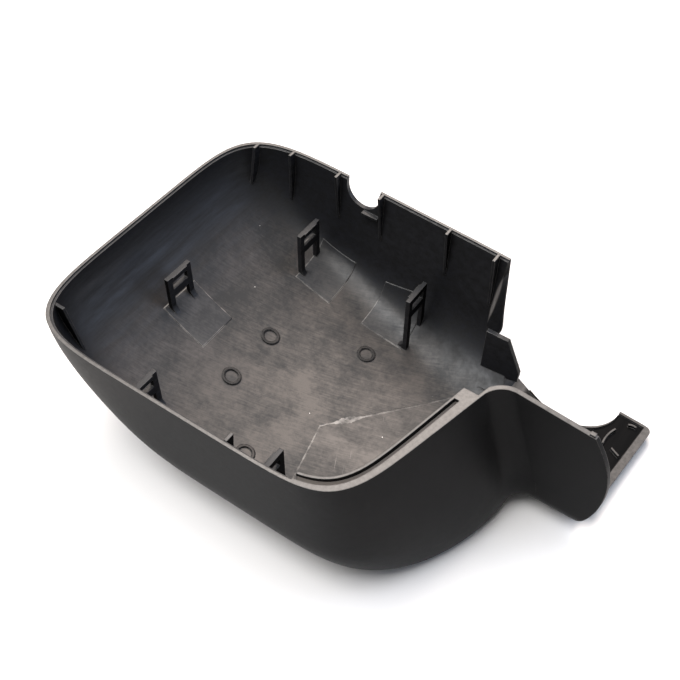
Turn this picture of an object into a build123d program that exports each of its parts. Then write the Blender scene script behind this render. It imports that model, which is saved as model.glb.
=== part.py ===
from build123d import *
from math import cos, exp, pi, radians, sin, sqrt
import os

# Sizes in mm. While it is shaped, the rim plane is z = 0 with the open side up, X runs from the
# outboard rim to the neck and y = 0 is the middle of the head. The last step moves the seat point to zero.

# Wall of the moulding
WALL = 2.6
WALL_DRAFT = 0.035

# Head, a bowl lofted through level contours
FLOOR_RUN = 202.5
FLOOR_DEPTH = 88.0
HEAD_HALF_WIDTH = 94.6
CONTOUR_POWER = 5.8
SIDE_ROUND = 46.0
SIDE_ROUND_HEIGHT = 38.0
INBOARD_ROUND = 16.0
INBOARD_ROUND_HEIGHT = 56.0
FAR_SIDE_START = 1.035
FAR_SIDE_TAPER = 0.00067
INBOARD_X = 214.4
INBOARD_SLOPE = 0.127
FLARE = 0.41
FLARE_PEAK_Y = -6.0
FLARE_SPREAD = 82.0
RIM_GAIN = 4.0
RIM_SLOPE = 0.115
RIM_FADE = 25.0
RIM_POWER_GAIN = 2.2
LEVEL_ANGLES = (-5, 0, 10, 20, 30, 40, 50, 58, 65, 72, 78, 83, 87, 90)
CONTOUR_POINTS = 64

# Neck, an angle of one upright panel and one floor plate
PANEL_Y = 7.75
PANEL_TOP_X = 226.0
PANEL_TOP_FALL = 0.1
NECK_START = 190.0
NECK_START_Y = 74.0
NECK_FLOOR = -84.0
NECK_ROUND = 14.0
VALLEY_ROUND = 14.0
VALLEY_LAP = 0.05
VALLEY_LEVELS = (6.0, 0.0, -8.0, -18.0, -30.0, -44.0, -58.0)
VALLEY_SHARES = (0.0, 0.3, 0.55, 0.75, 0.9)
LEAN_STEP = 1.0
LEAN_PASSES = 5
NECK_STOP = 292.0
HORN_Y = 88.5
HORN_TIP = (265.3, 90.5)
CUT_START = (206.0, 80.0)
CUT_MID = (226.9, 70.2)
CUT_LOW = (245.0, 67.0)
CUT_RISE = (259.9, 75.0)
END_CURVE = ((266.0, 5.0), (271.5, -4.0), (280.0, -19.0), (284.8, -43.0), (282.6, -63.0), (276.5, -90.0))
END_SKEW = 4.8
FAR_END_CURVE = ((185.5, 2.0), (187.5, -25.0), (193.5, -56.0))
FAR_END_FOOT_X = 206.0
FAR_END_Y = 58.0
BEVEL_Y = 83.2
BEVEL_LEAN = 1.15
BEVEL_LAND = 0.6
BEVEL_CREASE = ((185.2, 2.0), (184.4, -9.0), (183.0, -24.0), (181.5, -39.0), (180.2, -50.0), (183.0, -62.0))
PANEL_CORNER = ((284.0, -56.0), (282.3, -62.5), (279.4, -70.5), (275.0, -76.5), (260.0, -84.5))
PANEL_CORNER_Y = 6.0
PANEL_CORNER_REACH = 24.0
BORDER_WIDTH = 4.3
BORDER_EDGE = 1.6
BORDER_RISE = 1.2
BORDER_START = 216.0
TIP_CORNER = (285.2, 89.2)
TIP_ROUND = 4.0
NIB_LENGTH = 2.8
NIB_END = 271.0
NIB_TOP = -3.3
NIB_LOW = -7.0
NIB_WALL = 0.4
PLATE_Y = 70.3
PLATE_OUTLINE = ((185.2, -44.5), (198.8, -44.6), (208.8, -66.0), (208.8, -84.0), (185.2, -84.0))

# Rim step, and the wide grooved rim on the inboard side
RIM_STEP_WIDTH = 1.0
RIM_STEP_DEPTH = 1.2
BAND_WIDTH = 2.7
BAND_TURN = 1.8
BAND_PIVOT = (185.0, -90.0)
GROOVE_WIDTH = 2.7
LIP_WIDTH = 1.1
BAND_HEIGHT = 7.0
GROOVE_DEPTH = 5.0
BAND_START_X = 171.0
BAND_END_Y = -4.0
GROOVE_END_Y = -12.0

# Cable notch in the far wall
NOTCH_X = 88.0
NOTCH_WIDTH = 23.0
NOTCH_DEPTH = 16.0
LEDGE_START = 89.5
LEDGE_LENGTH = 11.0
LEDGE_REACH = 2.5
LEDGE_THICK = 1.6
LEDGE_DROP = 1.0

# Thin ribs that widen toward the rim
RIB_WIDTH = 1.6
RIB_REACH = 5.0
RIB_TIP = 0.4
NEAR_RIB_X = 134.0
NEAR_RIB_TOP = -0.6
NEAR_RIB_LENGTH = 34.0
FAR_RIB_TOP = 1.0
FAR_RIBS = ((16.5, 24.0), (38.2, 34.0), (71.3, 34.0), (102.3, 34.0), (148.0, 34.0), (179.0, 38.0))
END_RIB_Y = -75.0
END_RIB_TOP = (14.5, -2.0)
END_RIB_TIP = (22.0, -30.0)

# Thin locating ribs on the floor plate of the neck
HORN_RIB_WIDTH = 1.0
HORN_RIB_HEIGHT = 2.0
HORN_RIBS = (((268.3, 77.3), (266.3, 70.9), (266.2, 64.4)), ((271.7, 64.1), (274.4, 62.7), (277.1, 61.4)),
             ((273.0, 84.0), (275.2, 84.9), (277.5, 84.6)))

# Window clips standing on the floor
CLIP_WIDTH = 19.0
CLIP_THICK = 2.6
CLIP_LEG = 3.6
CLIP_BAR = 4.2
CLIP_SLOT = 5.2
CLIP_CROSS = 5.4
CLIP_FOOT = 6.5
CLIP_FOOT_HEIGHT = 12.0
CLIP_FOOT_SAG = 0.3
CLIP_LIP = 0.8
CLIP_LIP_HEIGHT = 1.4
CLIPS = ((30.5, -9.0, -20.0, 1), (63.5, 69.0, -30.0, 1), (140.0, 68.5, -38.5, -1),
         (59.0, -72.0, -33.0, 1), (140.0, -69.5, -41.0, -1))

# Ring bosses and shallow fields on the floor
RING_RADIUS = 5.4
RING_INNER_RADIUS = 3.7
RING_RISE = 0.9
RINGS = ((76.3, 12.4), (76.3, -23.8), (124.4, 41.7), (110.5, -56.0))
FIELD_RISE = 0.4
FIELD_TOP = -34.0
CLIP_FIELDS = ((28.0, 54.5, -21.5, 5.0), (63.0, 87.5, 56.0, 85.0), (110.0, 138.3, 58.0, 84.0))
INSERT_OUTLINE = ((141.0, -60.0), (135.0, -31.5), (132.0, -18.0), (134.0, -12.0), (148.5, 8.3),
                  (175.0, 40.0), (182.0, 46.0), (215.0, 0.0), (190.0, -60.0))

# Room left round the moulding while cutting
ABOVE_RIM = 25.0
FAR_STOP = 140.0

# Seat point in the middle of the wide rim, where the origin goes
SEAT_X = 206.5
SEAT_Y = -40.0


def round_in(below, depth, width, height):
    """How far a wall has come in at a depth, on its way round to the floor."""
    share = max(0.0, below - depth + height) / height
    return width * (1 - sqrt(max(0.0, 1 - share * share)))


def rim_share(below):
    """How much of the rim's own form is left at a depth."""
    return exp(-max(0.0, below) / RIM_FADE)


def inboard_x(y, below, inset):
    """X of the inboard side of the head, which leans out below the rim."""
    rim_x = INBOARD_X - inset + INBOARD_SLOPE * y + (RIM_GAIN + RIM_SLOPE * y) * rim_share(below)
    flare = FLARE * exp(-(((y - FLARE_PEAK_Y) / FLARE_SPREAD) ** 2))
    end_in = round_in(below, FLOOR_DEPTH - inset, INBOARD_ROUND - inset, INBOARD_ROUND_HEIGHT - inset)
    return rim_x + flare * below - end_in


def contour(angle, inset):
    """Closed level curve of the head at one angle down its floor ellipse."""
    depth = FLOOR_DEPTH - inset
    below = depth * sin(radians(angle))
    x_out = inset + (FLOOR_RUN - inset) * (1 - cos(radians(angle)))
    side_in = round_in(below, depth, SIDE_ROUND - inset, SIDE_ROUND_HEIGHT - inset)
    half_width = HEAD_HALF_WIDTH - inset - WALL_DRAFT * below - side_in
    points = []
    for step in range(CONTOUR_POINTS):
        turn = pi / 4 + 2 * pi * step / CONTOUR_POINTS
        c = cos(turn)
        s = sin(turn)
        power = CONTOUR_POWER
        if c > 0 and s < 0:
            power = CONTOUR_POWER + RIM_POWER_GAIN * rim_share(below)
        reach = (abs(c) ** power + abs(s) ** power) ** (-1 / power)
        y = half_width * reach * s
        x_in = inboard_x(y, below, inset)
        x = (x_out + x_in + (x_in - x_out) * reach * c) / 2
        if y > 0:
            y = y * (FAR_SIDE_START - FAR_SIDE_TAPER * x)
        points.append((x, y, -below))
    marks = [step / CONTOUR_POINTS for step in range(CONTOUR_POINTS + 1)]
    return Wire([Edge.make_spline(points, periodic=True, parameters=marks)])


def head(inset):
    """Solid of the head; an inset one is the room inside it."""
    return loft([Face(contour(angle, inset)) for angle in LEVEL_ANGLES])


def far_wall(x, below):
    """Inner face of the far wall at a depth under the rim."""
    depth = FLOOR_DEPTH - WALL
    x_out = WALL + (FLOOR_RUN - WALL) * (1 - sqrt(1 - (below / depth) ** 2))
    middle = (INBOARD_X + x_out) / 2
    across = abs(x - middle) / (middle - x_out)
    share = (1 - across**CONTOUR_POWER) ** (1 / CONTOUR_POWER)
    half_width = HEAD_HALF_WIDTH - WALL - WALL_DRAFT * below
    return half_width * share * (FAR_SIDE_START - FAR_SIDE_TAPER * x)


def block(x_from, x_to, y_from, y_to, z_from, z_to):
    """Box between two corners."""
    centre = Pos((x_from + x_to) / 2, (y_from + y_to) / 2, (z_from + z_to) / 2)
    return centre * Box(x_to - x_from, y_to - y_from, z_to - z_from)


def side_prism(outline, y_from, y_to):
    """Prism of an XZ outline between two Y planes."""
    face = make_face(Polyline(*outline, close=True))
    return Pos(0, y_to, 0) * extrude(Plane.XZ * face, y_to - y_from)


def cross_prism(outline, x_from, x_to):
    """Prism of a YZ outline between two X planes."""
    face = make_face(Polyline(*outline, close=True))
    return Pos(x_from, 0, 0) * extrude(Plane.YZ * face, x_to - x_from)


def corner(face, point, radius):
    """Round the corner of a flat face that lies nearest to a point."""
    vertex = face.vertices().sort_by_distance(point)[0]
    return fillet(vertex, radius)


def neck_body():
    """Outer solid of the neck with the pivot cut taken out of its far side."""
    near_edge = Line((NECK_START, PANEL_Y), (NECK_STOP, PANEL_Y))
    end_edge = Line((NECK_STOP, PANEL_Y), (NECK_STOP, HORN_Y))
    horn_edge = Line((NECK_STOP, HORN_Y), HORN_TIP)
    cut_edge = Spline(HORN_TIP, CUT_RISE, CUT_LOW, CUT_MID, CUT_START)
    back_edge = Line(CUT_START, (NECK_START, NECK_START_Y))
    start_edge = Line((NECK_START, NECK_START_Y), (NECK_START, PANEL_Y))
    plan = make_face([near_edge, end_edge, horn_edge, cut_edge, back_edge, start_edge])
    body = Pos(0, 0, NECK_FLOOR) * extrude(plan, ABOVE_RIM - NECK_FLOOR)
    low_edges = body.edges().filter_by(Axis.X).group_by(Axis.Z)[0]
    return fillet(low_edges, NECK_ROUND)


def neck_room():
    """Room inside the neck, open past the end and short of the far wall."""
    low = NECK_FLOOR + WALL
    near = PANEL_Y + WALL
    far = FAR_END_Y + WALL
    side = make_face(Polyline((near, low), (far, low), (far, ABOVE_RIM), (near, ABOVE_RIM), close=True))
    side = corner(side, (near, low), NECK_ROUND - WALL)
    return Pos(NECK_START, 0, 0) * extrude(Plane.YZ * side, NECK_STOP - NECK_START + WALL)


def far_room():
    """Room that ends the far wall short of the neck."""
    low = NECK_FLOOR + WALL
    past = NECK_STOP + WALL
    first = FAR_END_CURVE[0]
    foot = (FAR_END_FOOT_X, low)
    curve = Spline(*FAR_END_CURVE, foot)
    rest = Polyline(foot, (past, low), (past, first[1]), first)
    face = make_face([curve, rest])
    return Pos(0, FAR_STOP, 0) * extrude(Plane.XZ * face, FAR_STOP - FAR_END_Y)


def end_trim():
    """Everything past the curved end of the neck."""
    curve = Spline(*END_CURVE)
    past = NECK_STOP + ABOVE_RIM
    first = END_CURVE[0]
    last = END_CURVE[-1]
    rest = Polyline(last, (past, last[1]), (past, first[1]), first)
    face = make_face([curve, rest])
    body = Pos(0, FAR_STOP, 0) * extrude(Plane.XZ * face, 2 * FAR_STOP)
    pivot = Axis((last[0], PANEL_Y, 0), (0, 0, 1))
    return body.rotate(pivot, -END_SKEW)


def far_bevel():
    """Slanted cut that thins the end of the far wall from its inside."""
    foot = (FAR_END_FOOT_X, NECK_FLOOR + WALL)
    past = FAR_END_FOOT_X + WALL
    faces = []
    for y, points in ((BEVEL_Y, BEVEL_CREASE), (BEVEL_Y + WALL - BEVEL_LAND, FAR_END_CURVE)):
        curve = Spline(*points, foot)
        rest = Polyline(foot, (past, foot[1]), (past, points[0][1]), points[0])
        faces.append(Pos(0, y, 0) * (Plane.XZ * make_face([curve, rest])))
    body = loft(faces) + extrude(faces[0], 2 * WALL)
    return body.rotate(Axis((0, BEVEL_Y, 0), (1, 0, 0)), -BEVEL_LEAN)


def panel_corner():
    """Everything past the rounded lower corner of the panel, leaving the plate its full length."""
    past = NECK_STOP + ABOVE_RIM
    first = PANEL_CORNER[0]
    last = PANEL_CORNER[-1]
    below = -FLOOR_DEPTH - WALL
    rest = Polyline(last, (last[0], below), (past, below), (past, first[1]), first)
    face = Pos(0, PANEL_Y + PANEL_CORNER_Y, 0) * (Plane.XZ * make_face([Spline(*PANEL_CORNER), rest]))
    reach = PANEL_CORNER_REACH
    return extrude(face, PANEL_CORNER_Y + WALL) + extrude(face, reach, dir=(1, 1, 0))


def horn_tip():
    """What the rounded outer corner of the neck plate leaves out."""
    x, y = TIP_CORNER
    square = block(x - TIP_ROUND, NECK_STOP, y - TIP_ROUND, FAR_STOP, -FLOOR_DEPTH, NECK_FLOOR + ABOVE_RIM)
    return square - Pos(x - TIP_ROUND, y - TIP_ROUND, NECK_FLOOR) * Cylinder(TIP_ROUND, 2 * ABOVE_RIM)


def plate_border():
    """Raised border round the open edges of the neck plate, widest along its end."""
    low = NECK_FLOOR + WALL / 2
    high = NECK_FLOOR + WALL + BORDER_RISE
    zone = block(BORDER_START, NECK_STOP, PANEL_Y + NECK_ROUND, FAR_STOP, low, high)
    body = neck_body()
    edge = body - Pos(0, -BORDER_EDGE, 0) * body
    end = body & (Pos(-BORDER_WIDTH, 0, 0) * end_trim())
    return (edge + end) & zone


def valley_face(z, panel, radius, inset):
    """Level cut of the valley round, an arc that touches the head and the panel."""
    y = panel - radius
    for _ in range(LEAN_PASSES):
        rise = inboard_x(y + LEAN_STEP, -z, inset) - inboard_x(y - LEAN_STEP, -z, inset)
        lean = rise / (2 * LEAN_STEP)
        length = sqrt(1 + lean * lean)
        y = panel - radius + radius * lean / length
    x = inboard_x(y, -z, inset)
    middle = Vector(x + radius / length, panel - radius, z)
    to_head = Vector(-1 / length, lean / length, 0)
    to_panel = Vector(0, 1, 0)
    out = radius + VALLEY_LAP
    first = middle + to_head * out
    last = middle + to_panel * out
    arc = ThreePointArc(first, middle + (to_head + to_panel).normalized() * out, last)
    back = panel + WALL / 2
    inside = x - WALL / 2
    rest = Polyline(last, (last.X, back, z), (inside, back, z), (inside, first.Y, z), first)
    return make_face([arc, rest])


def valley(inset):
    """Round between the inboard side of the head and the panel, down to the neck plate."""
    low_round = NECK_ROUND - inset
    stations = [(z, 0.0) for z in VALLEY_LEVELS]
    for share in VALLEY_SHARES:
        stations.append((NECK_FLOOR + NECK_ROUND - share * low_round, share))
    faces = []
    for z, share in stations:
        rise = sqrt(1 - share * share)
        panel = PANEL_Y + inset + low_round * (1 - rise)
        faces.append(valley_face(z, panel, (VALLEY_ROUND + inset) * rise, inset))
    return loft(faces)


def wall_rib(x, top, low, y_top, y_low, side):
    """Rib on a long wall, widest at the rim; side is 1 on the far wall."""
    back = y_top + side * WALL
    outline = ((y_top - side * RIB_REACH, top), (y_low - side * RIB_TIP, low), (back, low), (back, top))
    return cross_prism(outline, x - RIB_WIDTH / 2, x + RIB_WIDTH / 2)


def end_rib():
    """Rib on the outboard wall beside its near corner."""
    outline = ((0, END_RIB_TOP[1]), END_RIB_TOP, END_RIB_TIP, (0, END_RIB_TIP[1]))
    return side_prism(outline, END_RIB_Y - RIB_WIDTH / 2, END_RIB_Y + RIB_WIDTH / 2)


def clip(x, y, top, side):
    """Window clip: two legs, a top bar and a cross bar, with flared feet."""
    half = CLIP_WIDTH / 2
    gap = half - CLIP_LEG
    slot_top = top - CLIP_BAR
    slot_low = slot_top - CLIP_SLOT
    arch_top = slot_low - CLIP_CROSS
    low = -FLOOR_DEPTH
    face = x + side * CLIP_THICK / 2
    plate = block(x - CLIP_THICK / 2, x + CLIP_THICK / 2, y - half, y + half, low, top)
    slot = block(x - CLIP_THICK, x + CLIP_THICK, y - gap, y + gap, slot_low, slot_top)
    arch = block(x - CLIP_THICK, x + CLIP_THICK, y - gap, y + gap, low - WALL, arch_top)
    lip = block(face - CLIP_LIP, face + CLIP_LIP, y - gap, y + gap, top - CLIP_LIP_HEIGHT, top)
    body = plate - slot - arch + lip
    for leg in (y - half, y + half - CLIP_LEG):
        body = body + clip_foot(x, leg, side)
    return body


def clip_foot(x, y_from, side):
    """Hollow flare from a clip leg to the floor."""
    reach = CLIP_THICK / 2 + CLIP_FOOT
    x_end = x + side * reach
    z_top = inner_floor(x) + CLIP_FOOT_HEIGHT
    z_end = inner_floor(x_end)
    sag = (x + side * CLIP_FOOT_SAG * reach, z_end + CLIP_FOOT_SAG * (z_top - z_end))
    flare = ThreePointArc((x, z_top), sag, (x_end, z_end))
    rest = Polyline((x_end, z_end), (x_end, -FLOOR_DEPTH), (x, -FLOOR_DEPTH), (x, z_top))
    face = make_face([flare, rest])
    return Pos(0, y_from + CLIP_LEG, 0) * extrude(Plane.XZ * face, CLIP_LEG)


def inner_floor(x):
    """Height of the inner floor on the middle line of the head."""
    share = (FLOOR_RUN - x) / (FLOOR_RUN - WALL)
    return -(FLOOR_DEPTH - WALL) * sqrt(1 - share * share)


# Rooms inside the head that the later cuts share; what grows in the rib room stands clear of the rim step
above = block(-ABOVE_RIM, NECK_STOP + ABOVE_RIM, -FAR_STOP, FAR_STOP, 0, ABOVE_RIM + WALL)
room = head(WALL)
fit_room = head(WALL / 2)
rib_room = fit_room - (Pos(0, 0, -RIM_STEP_DEPTH) * above - room)
ring_room = head(WALL + RING_RISE)
field_room = head(WALL + FIELD_RISE)

# Shell of head and neck
outer = head(0) + neck_body() + valley(0) - above
inner = room + neck_room() + valley(WALL)
cover = outer - inner - far_room() - far_bevel() + plate_border()
cover = cover - end_trim() - panel_corner() - horn_tip()

# Panel top falls toward its end
fall = PANEL_TOP_FALL * (NECK_STOP - PANEL_TOP_X)
wedge = side_prism(
    ((PANEL_TOP_X, 0), (NECK_STOP, 0), (NECK_STOP, -fall)), PANEL_Y - WALL, PANEL_Y + 2 * WALL
)
nib = block(NIB_END - NIB_LENGTH, NIB_END, PANEL_Y + NIB_WALL, PANEL_Y + WALL, NIB_LOW, NIB_TOP)
cover = cover - wedge + nib

# Rim step round the inside of the head
rim_slab = block(-WALL, NECK_STOP, -FAR_STOP, FAR_STOP, -RIM_STEP_DEPTH, 0)
cover = cover - (head(WALL - RIM_STEP_WIDTH) & rim_slab)

# Wide grooved rim on the inboard side, widening toward the neck
pivot = Axis((*BAND_PIVOT, 0), (0, 0, 1))
groove_far = BAND_WIDTH + GROOVE_WIDTH
band_zone = block(BAND_START_X, NECK_STOP, -FAR_STOP, BAND_END_Y, -BAND_HEIGHT, 0)
groove_zone = block(BAND_START_X, NECK_STOP, -FAR_STOP, GROOVE_END_Y, -GROOVE_DEPTH, 0)
lip_room = head(groove_far + LIP_WIDTH).rotate(pivot, BAND_TURN)
groove = (head(BAND_WIDTH) - head(groove_far)).rotate(pivot, BAND_TURN) & groove_zone
cover = cover + ((fit_room - lip_room) & band_zone) - groove

# Ribs, clips, rings and fields are grown through the wall and cut to its inside
near_wall = WALL - HEAD_HALF_WIDTH
near_tip = near_wall + WALL_DRAFT * NEAR_RIB_LENGTH
near_low = NEAR_RIB_TOP - NEAR_RIB_LENGTH
grown = [end_rib(), wall_rib(NEAR_RIB_X, NEAR_RIB_TOP, near_low, near_wall, near_tip, -1)]
for x, length in FAR_RIBS:
    far_low = FAR_RIB_TOP - length
    grown.append(wall_rib(x, FAR_RIB_TOP, far_low, far_wall(x, 0), far_wall(x, length), 1))
for x, y, top, side in CLIPS:
    grown.append(clip(x, y, top, side))
grown.append(side_prism(PLATE_OUTLINE, PLATE_Y, PLATE_Y + WALL))
for x, y in RINGS:
    ring = Cylinder(RING_RADIUS, FLOOR_DEPTH) - Cylinder(RING_INNER_RADIUS, FLOOR_DEPTH)
    grown.append(Pos(x, y, -FLOOR_DEPTH / 2) * ring - ring_room)
for x_from, x_to, y_from, y_to in CLIP_FIELDS:
    grown.append(block(x_from, x_to, y_from, y_to, -FLOOR_DEPTH, FIELD_TOP) - field_room)
insert = make_face(Polyline(*INSERT_OUTLINE, close=True))
grown.append(Pos(0, 0, -FLOOR_DEPTH) * extrude(insert, FLOOR_DEPTH + FIELD_TOP) - field_room)

# Ledge under the cable notch
notch_wall = far_wall(NOTCH_X, 0)
ledge_top = -NOTCH_DEPTH - LEDGE_DROP
ledge_end = LEDGE_START + LEDGE_LENGTH
ledge_near = far_wall(ledge_end, NOTCH_DEPTH) - LEDGE_REACH
ledge_low = ledge_top - LEDGE_THICK
grown.append(block(LEDGE_START, ledge_end, ledge_near, notch_wall + WALL, ledge_low, ledge_top))
for piece in grown:
    cover = cover + (piece & rib_room)

# Locating ribs on the neck plate
for points in HORN_RIBS:
    strip = trace(Spline(*points), HORN_RIB_WIDTH)
    cover = cover + Pos(0, 0, NECK_FLOOR + WALL / 2) * extrude(strip, WALL / 2 + HORN_RIB_HEIGHT)

# Cable notch through the far wall
notch_radius = NOTCH_WIDTH / 2
notch_turn = notch_radius - NOTCH_DEPTH
notch_from = notch_wall - 2 * RIB_REACH
notch = block(NOTCH_X - notch_radius, NOTCH_X + notch_radius, notch_from, FAR_STOP, notch_turn, ABOVE_RIM)
bore = Cylinder(notch_radius, FAR_STOP - notch_from)
bore = Pos(NOTCH_X, (FAR_STOP + notch_from) / 2, notch_turn) * Rot(90, 0, 0) * bore
cover = cover - notch - bore

# Seat point to the origin, and the file
cover = Pos(-SEAT_X, -SEAT_Y, 0) * cover
os.makedirs("parts", exist_ok=True)
export_step(cover, "parts/mirror_cover.step")
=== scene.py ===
"""Looks for the moulded wing mirror cover: satin black plastic on a plain pale floor, seen from above."""

import bpy
import numpy as np
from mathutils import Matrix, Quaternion, Vector


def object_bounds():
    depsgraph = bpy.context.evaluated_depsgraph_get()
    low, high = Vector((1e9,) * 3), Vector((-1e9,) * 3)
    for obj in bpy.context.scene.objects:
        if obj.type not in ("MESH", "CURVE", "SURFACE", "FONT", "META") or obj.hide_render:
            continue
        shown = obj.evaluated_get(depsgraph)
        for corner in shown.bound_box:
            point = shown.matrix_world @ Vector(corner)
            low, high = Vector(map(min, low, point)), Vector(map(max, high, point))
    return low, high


MM = 0.001

# Places on the cover in millimetres of its own frame; a fall, slope or share is a ratio
HEAD_MIDDLE = (-80.0, 70.0, 80.0)
FLOOR_FALL = 0.35
FLOOR_LIMIT = -83.0
NECK_START = 6.0
NECK_DEPTH = (-60.0, -70.0)
HORN_START = 44.0
TRAY_FLOOR = -81.4
TRAY_BORDER_RISE = 1.2
RIM_TOP = (-0.9, -0.4)
PANEL_TOP_START = 19.5
PANEL_TOP_FALL = 0.1
GROOVE_DEPTH = (-5.0, -2.0)
GROOVE_X = (-38.0, -36.0)
GROOVE_Y = (31.0, 29.0)
GROOVE_SKY_REACH = 5.0
BEVEL_CREASE_X = -21.2
BEVEL_CREASE_SLOPE = 0.1024
BEVEL_MIDDLE_Z = -31.0
BEVEL_Y = 118.0
CRESCENT_REACH = (25.0, 5.0)
CRESCENT_WIDTH = 1.4
CRESCENT_FADE = 0.9
RING_PLACES = ((-130.2, 52.4), (-130.2, 16.2), (-82.1, 81.7), (-96.0, -16.0))
RING_RADIUS = 5.4
RING_DISC_RADIUS = 3.7
RING_CREST_SHARE = 0.6
FIELD_BOXES = ((-178.5, -152.0, 18.5, 45.0), (-143.5, -119.0, 96.0, 125.0), (-96.5, -68.2, 98.0, 124.0))
INSERT_NEAR_EDGE = ((-65.5, -20.0), (-74.5, 22.0))
INSERT_FAR_EDGE = ((-72.5, 28.0), (-31.5, 80.0))
INSERT_END_EDGE = ((-24.5, 86.0), (8.5, 40.0))
INSERT_CORNER = (-73.5, 25.0)
INSERT_SMEAR = (-65.1, 37.4)

# Lengths in millimetres over which one finish fades into the next
SIDE_FADE = 2.0
FLOOR_FADE = 12.0
NECK_FADE = 4.0
HORN_FADE = 8.0
DISC_FADE = 0.6
EDGE_FADE = 0.4

# Marks of moulding and use in millimetres, along x, y and z where there are three sizes; turns in degrees
CLOUD_SIZE = 45.0
BLOTCH_SIZE = 9.0
MOTTLE_SIZE = 2.5
GRAIN_SIZE = 0.5
GRAIN_DEPTH = 0.03
DRAG_SIZE = (14.0, 0.9, 6.0)
DRAG_TURN = 20.0
DRAG_DEPTH = 0.08
SCRATCH_SIZE = (20.0, 0.5, 9.0)
SCRATCH_TURN = -64.0
FLOW_SIZE = (5.0, 45.0, 4.0)
FLOW_TURN = 0.0
DUST_CELL = 7.0
CORNER_RADIUS = 0.7
FIELD_LINE = (0.45, 0.1)
INSERT_LINE = (0.1, -0.4)
INSERT_WANDER = 1.1
SMEAR_REACH = (9.0, 3.0)
SMEAR_WIDTH = 3.0
CHALK_REACH = (12.0, 40.0)

# How the node is shaded: millimetres and degrees
WELD_GAP = 0.002
CREASE_ANGLE = 28.0

# Studio in metres; the camera's place, lens and sensor in millimetres, its roll in degrees
FLOOR_SHEET_HALF = 5.0
FLOOR_SHEET_GAP = 0.05 * MM
LIGHT_AIM = (-0.09, 0.04, -0.07)
WORLD_STRENGTH = 0.17
CAMERA_PLACE = (110.68, -229.40, 363.51)
CAMERA_LOOK = (-0.3660, 0.5365, -0.7604)
CAMERA_ROLL = 0.45
CAMERA_LENS = 51.2
CAMERA_SENSOR = 36.0
CAMERA_SHIFT = (0.0013, -0.0015)
CAMERA_CLIP = 0.01

# Kinds of shader node that are used often
MATH, VECTOR, SPAN = "ShaderNodeMath", "ShaderNodeVectorMath", "ShaderNodeMapRange"
NOISE, MIX, SEPARATE = "ShaderNodeTexNoise", "ShaderNodeMix", "ShaderNodeSeparateXYZ"

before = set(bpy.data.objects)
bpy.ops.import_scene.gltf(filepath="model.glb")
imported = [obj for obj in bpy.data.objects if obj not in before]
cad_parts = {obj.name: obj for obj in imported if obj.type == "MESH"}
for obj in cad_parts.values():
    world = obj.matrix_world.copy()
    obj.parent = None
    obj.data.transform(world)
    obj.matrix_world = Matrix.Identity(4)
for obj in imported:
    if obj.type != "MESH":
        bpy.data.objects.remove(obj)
cad_low, cad_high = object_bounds()
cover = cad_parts["mirror_cover"]


def tone(hex_code):
    """sRGB hex to linear RGBA: c / 12.92 in the toe, ((c + 0.055) / 1.055) ** 2.4 above it."""
    srgb = np.array([int(hex_code[i : i + 2], 16) for i in (1, 3, 5)]) / 255
    linear = np.where(srgb <= 0.04045, srgb / 12.92, ((srgb + 0.055) / 1.055) ** 2.4)
    return (*linear.tolist(), 1.0)


def add(tree, kind, settings=None):
    """Adds a node and returns its outputs. A setting that is another node's output is linked to the input of
    that name or number; any other setting is the input's own value, or the node's property of that name."""
    node = tree.nodes.new(kind)
    for name, value in (settings or {}).items():
        if isinstance(value, bpy.types.NodeSocket):
            tree.links.new(value, node.inputs[name])
        elif isinstance(name, int) or name in node.inputs:
            node.inputs[name].default_value = value
        else:
            setattr(node, name, value)
    return node.outputs


def inner_side(tree, place, normal):
    """Mask of the inside: 1 where a face looks at the middle of the head, 0 where it looks away from it."""
    inward = add(tree, VECTOR, {"operation": "SUBTRACT", 0: Vector(HEAD_MIDDLE) * MM, 1: place})["Vector"]
    facing = add(tree, VECTOR, {"operation": "DOT_PRODUCT", 0: inward, 1: normal})["Value"]
    side_range = {"From Min": -SIDE_FADE * MM, "From Max": SIDE_FADE * MM}
    return add(tree, SPAN, {"Value": facing, **side_range})["Result"]


def bowl_floor(tree, place, level, inside):
    """Mask of the bowl's floor: level inner faces under a limit that falls inboard, below the clips' tops."""
    x, _, z = add(tree, SEPARATE, {0: place})
    fall = add(tree, MATH, {"operation": "MULTIPLY_ADD", 0: x, 1: FLOOR_FALL, 2: z})["Value"]
    low_range = {"From Min": FLOOR_LIMIT * MM, "From Max": (FLOOR_LIMIT - FLOOR_FADE) * MM}
    low = add(tree, SPAN, {"Value": fall, **low_range})["Result"]
    floor = add(tree, MATH, {"operation": "MULTIPLY", 0: level, 1: low})["Value"]
    return add(tree, MATH, {"operation": "MULTIPLY", 0: floor, 1: inside})["Value"]


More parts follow.
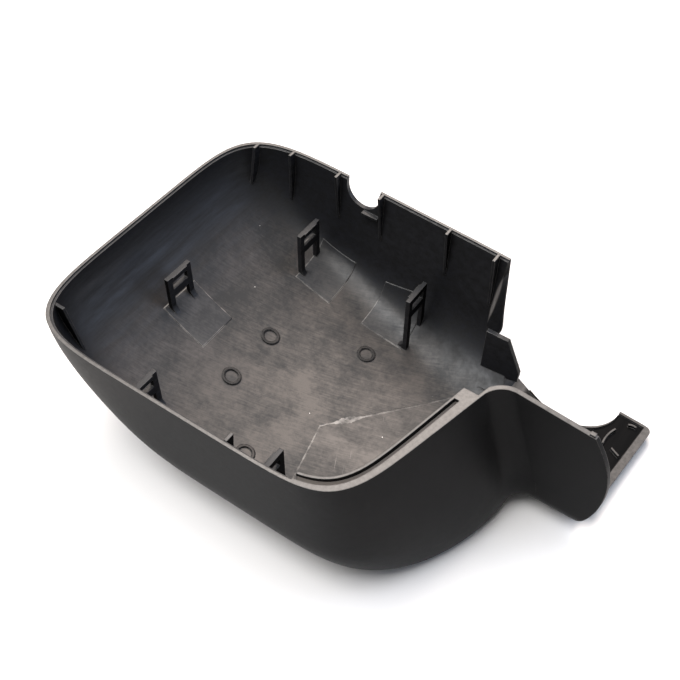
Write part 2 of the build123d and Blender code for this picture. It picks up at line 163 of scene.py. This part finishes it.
def horn_tray(tree, place, level):
    """Masks of the tray past the neck's start, and of the border that stands above it on the horn."""
    x, _, z = add(tree, SEPARATE, {0: place})
    neck_range = {"From Min": NECK_START * MM, "From Max": (NECK_START + NECK_FADE) * MM}
    neck = add(tree, SPAN, {"Value": x, **neck_range})["Result"]
    sunk_range = {"From Min": NECK_DEPTH[0] * MM, "From Max": NECK_DEPTH[1] * MM}
    sunk = add(tree, SPAN, {"Value": z, **sunk_range})["Result"]
    tray = add(tree, MATH, {"operation": "MULTIPLY", 0: level, 1: neck})["Value"]
    tray = add(tree, MATH, {"operation": "MULTIPLY", 0: tray, 1: sunk})["Value"]
    border_range = {"From Min": TRAY_FLOOR * MM, "From Max": (TRAY_FLOOR + TRAY_BORDER_RISE) * MM}
    raised = add(tree, SPAN, {"interpolation_type": "SMOOTHSTEP", "Value": z, **border_range})["Result"]
    border = add(tree, MATH, {"operation": "MULTIPLY", 0: tray, 1: raised})["Value"]
    horn_range = {"From Min": HORN_START * MM, "From Max": (HORN_START + HORN_FADE) * MM}
    horn = add(tree, SPAN, {"Value": x, **horn_range})["Result"]
    return tray, add(tree, MATH, {"operation": "MULTIPLY", 0: border, 1: horn})["Value"]


def rim_top(tree, place, up):
    """Mask of the rim's top: level faces near the rim plane, which falls along the neck panel."""
    x, _, z = add(tree, SEPARATE, {0: place})
    past_start = add(tree, MATH, {"operation": "SUBTRACT", 0: x, 1: PANEL_TOP_START * MM})["Value"]
    along = add(tree, MATH, {"operation": "MAXIMUM", 0: past_start, 1: 0.0})["Value"]
    height = add(tree, MATH, {"operation": "MULTIPLY_ADD", 0: along, 1: PANEL_TOP_FALL, 2: z})["Value"]
    top_range = {"From Min": RIM_TOP[0] * MM, "From Max": RIM_TOP[1] * MM}
    top = add(tree, SPAN, {"Value": height, **top_range})["Result"]
    flat_top = add(tree, SPAN, {"Value": up, "From Min": 0.8, "From Max": 0.95})["Result"]
    return add(tree, MATH, {"operation": "MULTIPLY", 0: top, 1: flat_top})["Value"]


def rim_groove(tree, place):
    """Mask of the painted light in the groove of the wide rim: hidden from most of the sky, from its bottom
    nearly to its edge.
    """
    x, y, z = add(tree, SEPARATE, {0: place})
    sky_look = {"samples": 6, "Distance": GROOVE_SKY_REACH * MM}
    open_sky = add(tree, "ShaderNodeAmbientOcclusion", sky_look)["AO"]
    hidden = add(tree, SPAN, {"Value": open_sky, "From Min": 0.75, "From Max": 0.55})["Result"]
    bottom, edge = GROOVE_DEPTH
    depth_range = {1: (bottom + edge) / 2 * MM, 2: (edge - bottom) / 2 * MM}
    depth = add(tree, MATH, {"operation": "COMPARE", 0: z, **depth_range})["Value"]
    painted_groove_light = add(tree, MATH, {"operation": "MULTIPLY", 0: hidden, 1: depth})["Value"]
    for across, (start, end) in ((x, GROOVE_X), (y, GROOVE_Y)):
        within = add(tree, SPAN, {"Value": across, "From Min": start * MM, "From Max": end * MM})["Result"]
        painted_groove_light = add(tree, MATH, {"operation": "MULTIPLY", 0: painted_groove_light, 1: within})["Value"]
    return painted_groove_light


def bevel_crescent(tree, place, inside):
    """Mask of the painted highlight along the crease of the far wall's thinned end: a crescent, widest at its
    middle.
    """
    x, y, z = add(tree, SEPARATE, {0: place})
    crease = add(tree, MATH, {"operation": "MULTIPLY_ADD", 0: z, 1: -BEVEL_CREASE_SLOPE, 2: x})["Value"]
    crease = add(tree, MATH, {"operation": "SUBTRACT", 0: crease, 1: BEVEL_CREASE_X * MM})["Value"]
    crease = add(tree, MATH, {"operation": "ABSOLUTE", 0: crease})["Value"]
    rise = add(tree, MATH, {"operation": "SUBTRACT", 0: z, 1: BEVEL_MIDDLE_Z * MM})["Value"]
    rise = add(tree, MATH, {"operation": "ABSOLUTE", 0: rise})["Value"]
    end, start = CRESCENT_REACH
    width_range = {"From Min": end * MM, "From Max": start * MM, "To Max": CRESCENT_WIDTH * MM}
    width = add(tree, SPAN, {"interpolation_type": "SMOOTHSTEP", "Value": rise, **width_range})["Result"]
    room = add(tree, MATH, {"operation": "SUBTRACT", 0: width, 1: crease})["Value"]
    crescent_highlight = add(tree, SPAN, {"Value": room, "From Min": 0.0, "From Max": CRESCENT_FADE * MM})["Result"]
    far_side = add(tree, MATH, {"operation": "GREATER_THAN", 0: y, 1: BEVEL_Y * MM})["Value"]
    crescent_highlight = add(tree, MATH, {"operation": "MULTIPLY", 0: crescent_highlight, 1: far_side})["Value"]
    return add(tree, MATH, {"operation": "MULTIPLY", 0: crescent_highlight, 1: inside})["Value"]


def ejector_rings(tree, flat, floor):
    """Mask of painted shade on the raised rings round the ejector discs, half as strong along the crest of
    each ring.
    """
    ring_reach = None
    for ring_x, ring_y in RING_PLACES:
        middle = (ring_x * MM, ring_y * MM, 0.0)
        reach = add(tree, VECTOR, {"operation": "DISTANCE", 0: flat, 1: middle})["Value"]
        if ring_reach is not None:
            reach = add(tree, MATH, {"operation": "MINIMUM", 0: reach, 1: ring_reach})["Value"]
        ring_reach = reach
    disc_range = {"From Min": RING_DISC_RADIUS * MM, "From Max": (RING_DISC_RADIUS - DISC_FADE) * MM}
    disc = add(tree, SPAN, {"Value": ring_reach, **disc_range})["Result"]
    ring_range = {"From Min": (RING_RADIUS + EDGE_FADE) * MM, "From Max": RING_RADIUS * MM}
    near_ring = add(tree, SPAN, {"Value": ring_reach, **ring_range})["Result"]
    ring_shade = add(tree, MATH, {"operation": "SUBTRACT", 0: near_ring, 1: disc})["Value"]
    ring_shade = add(tree, MATH, {"operation": "MULTIPLY", 0: ring_shade, 1: floor})["Value"]
    crest_radius = (RING_RADIUS + RING_DISC_RADIUS) / 2
    crest_half = (RING_RADIUS - RING_DISC_RADIUS) * RING_CREST_SHARE / 2
    crest_range = {1: crest_radius * MM, 2: crest_half * MM}
    crest = add(tree, MATH, {"operation": "COMPARE", 0: ring_reach, **crest_range})["Value"]
    darkness = add(tree, SPAN, {"Value": crest, "To Min": 1.0, "To Max": 0.5})["Result"]
    return add(tree, MATH, {"operation": "MULTIPLY", 0: ring_shade, 1: darkness})["Value"]


def insert_distance(tree, flat):
    """Signed distance to the tool insert: the least of the distances inside its straight edges."""
    insert_reach = None
    for (x0, y0), (x1, y1) in (INSERT_NEAR_EDGE, INSERT_FAR_EDGE, INSERT_END_EDGE):
        across = Vector((y1 - y0, x0 - x1, 0.0)).normalized()
        offset = add(tree, VECTOR, {"operation": "SUBTRACT", 0: flat, 1: (x0 * MM, y0 * MM, 0.0)})["Vector"]
        reach = add(tree, VECTOR, {"operation": "DOT_PRODUCT", 0: offset, 1: across})["Value"]
        if insert_reach is not None:
            reach = add(tree, MATH, {"operation": "MINIMUM", 0: reach, 1: insert_reach})["Value"]
        insert_reach = reach
    return insert_reach


def field_distance(tree, flat):
    """Signed distance to the clip fields: the larger side of the offset from a box, least over the boxes."""
    field_reach = None
    for x_from, x_to, y_from, y_to in FIELD_BOXES:
        middle = Vector((x_from + x_to, y_from + y_to, 0.0)) * MM / 2
        half = Vector((x_to - x_from, y_to - y_from, 0.0)) * MM / 2
        offset = add(tree, VECTOR, {"operation": "SUBTRACT", 0: flat, 1: middle})["Vector"]
        folded = add(tree, VECTOR, {"operation": "ABSOLUTE", 0: offset})["Vector"]
        outside = add(tree, VECTOR, {"operation": "SUBTRACT", 0: folded, 1: half})["Vector"]
        sides = add(tree, SEPARATE, {0: outside})
        reach = add(tree, MATH, {"operation": "MAXIMUM", 0: sides["X"], 1: sides["Y"]})["Value"]
        if field_reach is not None:
            reach = add(tree, MATH, {"operation": "MINIMUM", 0: reach, 1: field_reach})["Value"]
        field_reach = reach
    return field_reach


def field_flash(tree, field_reach, blotches):
    """Mask of the flash round the clip fields: a thin line on their edges, broken up by the blotches."""
    edge = add(tree, MATH, {"operation": "ABSOLUTE", 0: field_reach})["Value"]
    line_range = {"From Min": FIELD_LINE[0] * MM, "From Max": FIELD_LINE[1] * MM}
    line = add(tree, SPAN, {"Value": edge, **line_range})["Result"]
    broken = add(tree, SPAN, {"Value": blotches, "From Min": 0.4, "From Max": 0.62, "To Max": 0.8})["Result"]
    return add(tree, MATH, {"operation": "MULTIPLY", 0: broken, 1: line})["Value"]


def insert_flash(tree, flat, insert_reach, blotches, mottle):
    """Mask of the flash round the insert: a chalky line that wanders with the mottling, widens to a smear
    past the insert's corner and thins out away from it."""
    edge = add(tree, MATH, {"operation": "ABSOLUTE", 0: insert_reach})["Value"]
    smear_point = (INSERT_SMEAR[0] * MM, INSERT_SMEAR[1] * MM, 0.0)
    smear_reach = add(tree, VECTOR, {"operation": "DISTANCE", 0: flat, 1: smear_point})["Value"]
    end, start = SMEAR_REACH
    smear_range = {"From Min": end * MM, "From Max": start * MM, "To Max": SMEAR_WIDTH * MM}
    smear = add(tree, SPAN, {"Value": smear_reach, **smear_range})["Result"]
    smear = add(tree, MATH, {"operation": "MULTIPLY", 0: smear, 1: mottle})["Value"]
    edge = add(tree, MATH, {"operation": "SUBTRACT", 0: edge, 1: smear})["Value"]
    wander_pull = {0: mottle, 1: -INSERT_WANDER * MM, 2: edge}
    wander = add(tree, MATH, {"operation": "MULTIPLY_ADD", **wander_pull})["Value"]
    line_range = {"From Min": INSERT_LINE[0] * MM, "From Max": INSERT_LINE[1] * MM}
    line = add(tree, SPAN, {"Value": wander, **line_range})["Result"]
    broken = add(tree, SPAN, {"Value": blotches, "From Min": 0.4, "From Max": 0.6, "To Min": 0.15})["Result"]
    flash = add(tree, MATH, {"operation": "MULTIPLY", 0: broken, 1: line})["Value"]
    corner_point = (INSERT_CORNER[0] * MM, INSERT_CORNER[1] * MM, 0.0)
    corner_reach = add(tree, VECTOR, {"operation": "DISTANCE", 0: flat, 1: corner_point})["Value"]
    start, end = CHALK_REACH
    chalk_range = {"From Min": start * MM, "From Max": end * MM, "To Min": 1.0, "To Max": 0.3}
    chalk = add(tree, SPAN, {"Value": corner_reach, **chalk_range})["Result"]
    return add(tree, MATH, {"operation": "MULTIPLY", 0: flash, 1: chalk})["Value"]


def dust_specks(tree, place, floor):
    """Mask of the dust: one white speck about half a millimetre across in some cells of the floor."""
    cells = add(tree, "ShaderNodeTexVoronoi", {"Vector": place, "Scale": 1 / (DUST_CELL * MM)})
    speck = add(tree, SPAN, {"Value": cells["Distance"], "From Min": 0.05, "From Max": 0.03})["Result"]
    lot = add(tree, SEPARATE, {0: cells["Color"]})["X"]
    chosen = add(tree, MATH, {"operation": "GREATER_THAN", 0: lot, 1: 0.78})["Value"]
    dust = add(tree, MATH, {"operation": "MULTIPLY", 0: speck, 1: chosen})["Value"]
    return add(tree, MATH, {"operation": "MULTIPLY", 0: dust, 1: floor})["Value"]


def moulded_plastic():
    """Black moulded plastic, satin outside and tool-marked inside: the deep floor shows a pale warm sheen
    with drag marks, partly painted into its colour; the walls stay dull and dark, rims and corners are rubbed
    paler with painted highlights, and parting lines show chalky flash. Painted shade darkens the ejector
    rings, painted light pales the rim's groove and a painted highlight lies along the far wall's crease."""
    material = bpy.data.materials.new("black_moulded_plastic")
    material.use_nodes = True
    tree = material.node_tree
    tree.nodes.clear()
    place = add(tree, "ShaderNodeTexCoord")["Object"]
    normal = add(tree, "ShaderNodeNewGeometry")["Normal"]
    up = add(tree, SEPARATE, {0: normal})["Z"]
    flat = add(tree, VECTOR, {"operation": "MULTIPLY", 0: place, 1: (1.0, 1.0, 0.0)})["Vector"]

    # Faces of the cover
    level_range = {"From Min": 0.62, "From Max": 0.96}
    level = add(tree, SPAN, {"interpolation_type": "SMOOTHSTEP", "Value": up, **level_range})["Result"]
    inside = inner_side(tree, place, normal)
    floor = bowl_floor(tree, place, level, inside)
    tray, border = horn_tray(tree, place, level)
    rim = rim_top(tree, place, up)
    painted_groove_light = rim_groove(tree, place)
    crescent_highlight = bevel_crescent(tree, place, inside)

    # Soft clouds, blotches, mottling and the spark grain of the tool
    cloud_look = {"Scale": 1 / (CLOUD_SIZE * MM), "Detail": 2.0, "Distortion": 0.6}
    clouds = add(tree, NOISE, {"Vector": place, **cloud_look})["Fac"]
    blotch_look = {"Scale": 1 / (BLOTCH_SIZE * MM), "Detail": 4.0, "Roughness": 0.6}
    blotches = add(tree, NOISE, {"Vector": place, **blotch_look})["Fac"]
    mottle_look = {"Scale": 1 / (MOTTLE_SIZE * MM), "Detail": 4.0, "Roughness": 0.7}
    mottle = add(tree, NOISE, {"Vector": place, **mottle_look})["Fac"]
    grain_look = {"Scale": 1 / (GRAIN_SIZE * MM), "Detail": 2.0}
    grain = add(tree, NOISE, {"Vector": place, **grain_look})["Fac"]

    # Drag marks laid across the floor, finer scratches the other way, and flow marks along the outboard rim
    long_marks = []
    for size, turn, look in (
        (DRAG_SIZE, DRAG_TURN, {"Detail": 4.0, "Roughness": 0.6}),
        (SCRATCH_SIZE, SCRATCH_TURN, {"Detail": 1.0}),
        (FLOW_SIZE, FLOW_TURN, {"Detail": 4.0, "Roughness": 0.65}),
    ):
        lie = {"Rotation": (0.0, 0.0, np.radians(turn)), "Scale": Vector(size) * MM}
        along = add(tree, "ShaderNodeMapping", {"vector_type": "TEXTURE", "Vector": place, **lie})["Vector"]
        long_marks.append(add(tree, NOISE, {"Vector": along, "Scale": 1.0, **look})["Fac"])
    drags, scratches, flow = long_marks
    scratch = add(tree, SPAN, {"Value": scratches, "From Min": 0.74, "From Max": 0.82})["Result"]
    flowed = add(tree, SPAN, {"Value": flow, "From Min": 0.35, "From Max": 0.65})["Result"]

    # Sheen pattern of the floor, where the drag marks show most on the blotches; where it is high the colour
    # is paler and warmer, partly wear and partly a painted sheen
    patchy = add(tree, MATH, {"operation": "MULTIPLY", 0: drags, 1: blotches})["Value"]
    sheen = add(tree, MATH, {"operation": "MULTIPLY_ADD", 0: patchy, 1: 1.2, 2: clouds})["Value"]
    sheen = add(tree, MATH, {"operation": "MULTIPLY_ADD", 0: mottle, 1: 0.6, 2: sheen})["Value"]
    wear_and_painted_sheen = add(tree, SPAN, {"Value": sheen, "From Min": 0.88, "From Max": 1.34})["Result"]

    # Details of the floor: ejector rings, tool insert, clip fields, flash on edges, scratches and dust
    ring_shade = ejector_rings(tree, flat, floor)
    insert_reach = insert_distance(tree, flat)
    edge_range = {"From Min": 0.0, "From Max": EDGE_FADE * MM}
    on_insert = add(tree, SPAN, {"Value": insert_reach, **edge_range})["Result"]
    insert = add(tree, MATH, {"operation": "MULTIPLY", 0: on_insert, 1: floor})["Value"]
    field_reach = field_distance(tree, flat)
    on_field = add(tree, SPAN, {"Value": field_reach, "From Min": 0.0, "From Max": -EDGE_FADE * MM})["Result"]
    field = add(tree, MATH, {"operation": "MULTIPLY", 0: on_field, 1: floor})["Value"]
    field_lines = field_flash(tree, field_reach, blotches)
    insert_lines = insert_flash(tree, flat, insert_reach, blotches, mottle)
    flash = add(tree, MATH, {"operation": "MAXIMUM", 0: field_lines, 1: insert_lines})["Value"]
    flash = add(tree, MATH, {"operation": "MULTIPLY", 0: flash, 1: floor})["Value"]
    scored = add(tree, MATH, {"operation": "MULTIPLY", 0: scratch, 1: insert})["Value"]
    dust = dust_specks(tree, place, floor)

    # Corners: where the normal of a small rounding leaves the face's own normal, paler in places, partly
    # rubbed wear and partly a painted highlight along the edges
    rounded = add(tree, "ShaderNodeBevel", {"samples": 6, "Radius": CORNER_RADIUS * MM})["Normal"]
    agree = add(tree, VECTOR, {"operation": "DOT_PRODUCT", 0: rounded, 1: normal})["Value"]
    corner = add(tree, SPAN, {"Value": agree, "From Min": 0.985, "From Max": 0.86})["Result"]
    rub = add(tree, SPAN, {"Value": mottle, "From Min": 0.3, "From Max": 0.65})["Result"]
    rubbed_and_highlit_corners = add(tree, MATH, {"operation": "MULTIPLY", 0: corner, 1: rub})["Value"]

    # Colours, each laid over the one before by its mask
    flow_tint = add(tree, MIX, {"data_type": "RGBA", 0: flowed, 6: tone("#131315"), 7: tone("#212226")})[2]
    wall_tint = add(tree, MIX, {"data_type": "RGBA", 0: inside, 6: tone("#0a0a0b"), 7: flow_tint})[2]
    # Floor, field and insert colours turn paler and warmer with the sheen pattern: partly wear, partly a
    # painted sheen
    field_tint = add(tree, MIX, {"data_type": "RGBA", 0: wear_and_painted_sheen, 6: tone("#1f2023"), 7: tone("#3d3b3a")})[2]
    floor_tint = add(tree, MIX, {"data_type": "RGBA", 0: wear_and_painted_sheen, 6: tone("#151516"), 7: tone("#403a36")})[2]
    insert_tint = add(tree, MIX, {"data_type": "RGBA", 0: wear_and_painted_sheen, 6: tone("#2c2927"), 7: tone("#4a4440")})[2]
    # Rim tops and the horn's border are painted pale and mottled: partly rubbed wear, partly a painted
    # highlight on these level tops
    rim_wear_and_highlight_tint = add(tree, MIX, {"data_type": "RGBA", 0: mottle, 6: tone("#302e2c"), 7: tone("#7b7774")})[2]
    colour = wall_tint
    layers = (
        # floor, fields and insert: paler where worn and where a painted sheen lies
        (floor, floor_tint),
        (field, field_tint),
        (insert, insert_tint),
        # painted shade on the ring walls
        (ring_shade, tone("#161617")),
        (tray, tone("#070708")),
        # horn border: rubbed wear and a painted highlight
        (border, rim_wear_and_highlight_tint),
        # painted light in the rim's groove
        (painted_groove_light, tone("#a39d98")),
        # rim top: rubbed wear and a painted highlight
        (rim, rim_wear_and_highlight_tint),
        # painted highlight along the far wall's crease
        (crescent_highlight, tone("#948f8c")),
        # corners: rubbed wear and a painted highlight
        (rubbed_and_highlit_corners, tone("#5a5856")),
        (scored, tone("#7d7874")),
        (flash, tone("#9b9691")),
        (dust, tone("#d8d4cf")),
    )
    for mask, over in layers:
        colour = add(tree, MIX, {"data_type": "RGBA", 0: mask, 6: colour, 7: over})[2]

    # Roughness: dull walls, smoother floor and rims; the outside, the rings and the tray hardly shine
    outer_rough = add(tree, SPAN, {"Value": mottle, "To Min": 0.4, "To Max": 0.52})["Result"]
    inner_rough = add(tree, SPAN, {"Value": flowed, "To Min": 0.6, "To Max": 0.38})["Result"]
    wall_rough = add(tree, MIX, {0: inside, 2: outer_rough, 3: inner_rough})[0]
    floor_rough = add(tree, SPAN, {"Value": wear_and_painted_sheen, "To Min": 0.56, "To Max": 0.35})["Result"]
    rough = add(tree, MIX, {0: floor, 2: wall_rough, 3: floor_rough})[0]
    rough = add(tree, MIX, {0: rim, 2: rough, 3: 0.36})[0]
    face_shine = add(tree, SPAN, {"Value": inside, "To Min": 0.09, "To Max": 0.5})["Result"]
    dull = add(tree, MATH, {"operation": "MAXIMUM", 0: ring_shade, 1: tray})["Value"]
    shine = add(tree, MIX, {0: dull, 2: face_shine, 3: 0.06})[0]

    # Bump: spark grain everywhere, drag marks on the floor
    grain_bump = {"Strength": 0.25, "Distance": GRAIN_DEPTH * MM, "Height": grain, "Normal": rounded}
    grained = add(tree, "ShaderNodeBump", grain_bump)["Normal"]
    drag_height = add(tree, MATH, {"operation": "MULTIPLY", 0: sheen, 1: floor})["Value"]
    drag_bump = {"Strength": 0.5, "Distance": DRAG_DEPTH * MM, "Height": drag_height, "Normal": grained}
    dragged = add(tree, "ShaderNodeBump", drag_bump)["Normal"]

    surface = {"Base Color": colour, "Roughness": rough, "Normal": dragged}
    finish = {**surface, "Specular IOR Level": shine, "IOR": 1.5}
    shader = add(tree, "ShaderNodeBsdfPrincipled", finish)["BSDF"]
    add(tree, "ShaderNodeOutputMaterial", {"Surface": shader})
    return material


cover.data.materials.clear()
cover.data.materials.append(moulded_plastic())

# The node's loose triangles are welded, and shaded smooth up to the crease angle
cover.data.polygons.foreach_set("use_smooth", np.ones(len(cover.data.polygons), bool))
weld = cover.modifiers.new("weld", "WELD")
weld.merge_threshold = WELD_GAP * MM
split = cover.modifiers.new("crease", "EDGE_SPLIT")
split.split_angle = np.radians(CREASE_ANGLE)
split.use_edge_sharp = False


def floor_sheet():
    """Pale floor of white card: a flat square a hair under the lowest point of the cover."""
    half = FLOOR_SHEET_HALF
    z = cad_low.z - FLOOR_SHEET_GAP
    mesh = bpy.data.meshes.new("floor")
    corners = [(-half, -half, z), (half, -half, z), (half, half, z), (-half, half, z)]
    mesh.from_pydata(corners, [], [(0, 1, 2, 3)])
    floor = bpy.data.objects.new("floor", mesh)
    bpy.context.scene.collection.objects.link(floor)
    material = bpy.data.materials.new("white_card")
    material.use_nodes = True
    card = material.node_tree.nodes["Principled BSDF"]
    card.inputs["Base Color"].default_value = tone("#f6f4f3")
    card.inputs["Roughness"].default_value = 0.9
    mesh.materials.append(material)


floor_sheet()


def softbox(name, place, size, power, colour):
    """Square area light that looks at the cover; places and sizes in metres, power in watts."""
    data = bpy.data.lights.new(name, "AREA")
    data.energy = power
    data.color = tone(colour)[:3]
    data.shape = "SQUARE"
    data.size = size
    light = bpy.data.objects.new(name, data)
    light.location = place
    light.rotation_mode = "QUATERNION"
    light.rotation_quaternion = (Vector(LIGHT_AIM) - Vector(place)).to_track_quat("-Z", "Y")
    bpy.context.scene.collection.objects.link(light)


softbox("back_sheen", (-0.34, 0.62, 0.85), 0.6, 9.5, "#fff1e6")
softbox("side_sheen", (0.38, 0.55, 0.95), 0.5, 2.5, "#e6eeff")
softbox("window", (0.85, 0.6, 0.38), 0.6, 2.2, "#cddfff")
softbox("top_soft", (-0.55, -0.3, 1.55), 1.5, 41, "#ffffff")
softbox("near_fill", (-0.5, -0.7, 1.3), 1.2, 3, "#ffffff")

world = bpy.data.worlds.new("studio")
bpy.context.scene.world = world
world.use_nodes = True
background = world.node_tree.nodes["Background"]
background.inputs["Color"].default_value = tone("#ffffff")
background.inputs["Strength"].default_value = WORLD_STRENGTH

camera_data = bpy.data.cameras.new("photo_view")
camera_data.lens = CAMERA_LENS
camera_data.sensor_width = CAMERA_SENSOR
camera_data.shift_x, camera_data.shift_y = CAMERA_SHIFT
camera_data.clip_start = CAMERA_CLIP
camera = bpy.data.objects.new("photo_view", camera_data)
camera.location = Vector(CAMERA_PLACE) * MM
camera.rotation_mode = "QUATERNION"
camera_roll = Quaternion((0.0, 0.0, 1.0), np.radians(CAMERA_ROLL))
camera.rotation_quaternion = Vector(CAMERA_LOOK).to_track_quat("-Z", "Y") @ camera_roll
bpy.context.scene.collection.objects.link(camera)
bpy.context.scene.camera = camera
bpy.context.scene.view_settings.view_transform = "Standard"
